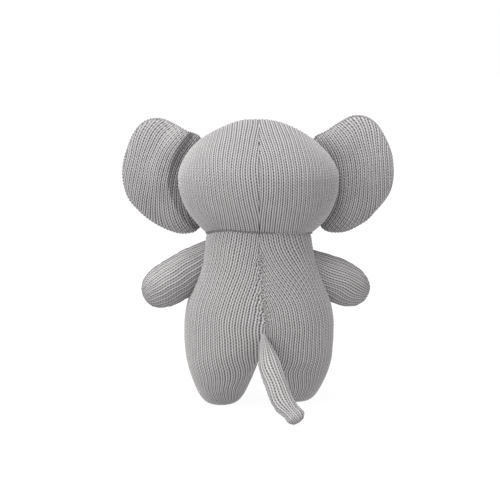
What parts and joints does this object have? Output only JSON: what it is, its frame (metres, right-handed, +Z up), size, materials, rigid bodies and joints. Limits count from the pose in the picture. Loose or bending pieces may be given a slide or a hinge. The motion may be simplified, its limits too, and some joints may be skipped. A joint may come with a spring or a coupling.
{
  "type": "stuffed elephant",
  "caption": "Soft knitted elephant toy standing on two stub legs, with padded ears, arms, trunk and a flat tail that bend at their seams.",
  "frame": {"origin": "on the ground, at the bottom centre of the elephant's box, between its two feet", "axes": "+Z up, the elephant faces -Y, and its left side is +X"},
  "size_m": [0.2365, 0.1662, 0.2499],
  "materials": {
    "knit_fabric": "matt machine-knit cotton",
    "stuffing": "loose polyester fibre",
    "sewing_thread": "matt cotton thread",
    "eye_thread": "satin embroidery thread"
  },
  "bodies": {
    "torso": {"body_panel_left": "knit_fabric", "body_panel_right": "knit_fabric", "body_filling": "stuffing", "closing_seam_thread": "sewing_thread"},
    "head": {"head_panel_left": "knit_fabric", "head_panel_right": "knit_fabric", "head_filling": "stuffing", "neck_seam_thread": "sewing_thread", "eye_left": "eye_thread", "eye_right": "eye_thread"},
    "trunk": {"trunk_cover": "knit_fabric", "trunk_filling": "stuffing"},
    "tail": {"tail_cover": "knit_fabric", "tail_filling": "stuffing"},
    "ear_left": {"ear_back_left": "knit_fabric", "ear_wadding_left": "stuffing", "ear_front_left": "knit_fabric"},
    "arm_left": {"arm_cover_left": "knit_fabric", "arm_filling_left": "stuffing"},
    "leg_left": {"leg_cover_left": "knit_fabric", "leg_filling_left": "stuffing"},
    "ear_right": {"ear_back_right": "knit_fabric", "ear_wadding_right": "stuffing", "ear_front_right": "knit_fabric"},
    "arm_right": {"arm_cover_right": "knit_fabric", "arm_filling_right": "stuffing"},
    "leg_right": {"leg_cover_right": "knit_fabric", "leg_filling_right": "stuffing"}
  },
  "joints": [
    {"name": "neck_nod", "type": "hinge", "parent": "torso", "child": "head", "pos_m": [0, 0, 0.151], "axis": [1, 0, 0], "range_deg": [-8, 12], "stiffness_Nm_per_rad": 0.5},
    {"name": "trunk_lift", "type": "hinge", "parent": "head", "child": "trunk", "pos_m": [0, -0.048, 0.188], "axis": [-1, 0, 0], "range_deg": [-12, 40], "stiffness_Nm_per_rad": 0.06},
    {"name": "ear_flap_left", "type": "hinge", "parent": "head", "child": "ear_left", "pos_m": [0.06, -0.024, 0.196], "axis": [0, 0, -1], "range_deg": [-10, 25], "stiffness_Nm_per_rad": 0.05},
    {"name": "ear_flap_right", "type": "hinge", "parent": "head", "child": "ear_right", "pos_m": [-0.06, -0.024, 0.196], "axis": [0, 0, 1], "range_deg": [-10, 25], "stiffness_Nm_per_rad": 0.05},
    {"name": "arm_lift_left", "type": "hinge", "parent": "torso", "child": "arm_left", "pos_m": [0.046, 0, 0.128], "axis": [-0.0698, -0.9976, 0], "range_deg": [-10, 32], "stiffness_Nm_per_rad": 0.06},
    {"name": "arm_lift_right", "type": "hinge", "parent": "torso", "child": "arm_right", "pos_m": [-0.046, 0, 0.121], "axis": [-0.4695, 0.8829, 0], "range_deg": [-10, 32], "stiffness_Nm_per_rad": 0.06},
    {"name": "leg_swing_left", "type": "hinge", "parent": "torso", "child": "leg_left", "pos_m": [0.033, 0, 0.046], "axis": [-1, 0, 0], "range_deg": [-10, 35], "stiffness_Nm_per_rad": 0.8},
    {"name": "leg_swing_right", "type": "hinge", "parent": "torso", "child": "leg_right", "pos_m": [-0.033, 0, 0.046], "axis": [-1, 0, 0], "range_deg": [-10, 35], "stiffness_Nm_per_rad": 0.8},
    {"name": "tail_lift", "type": "hinge", "parent": "torso", "child": "tail", "pos_m": [-0.005, 0.038, 0.064], "axis": [1, 0, 0], "range_deg": [0, 55], "stiffness_Nm_per_rad": 0.02}
  ]
}
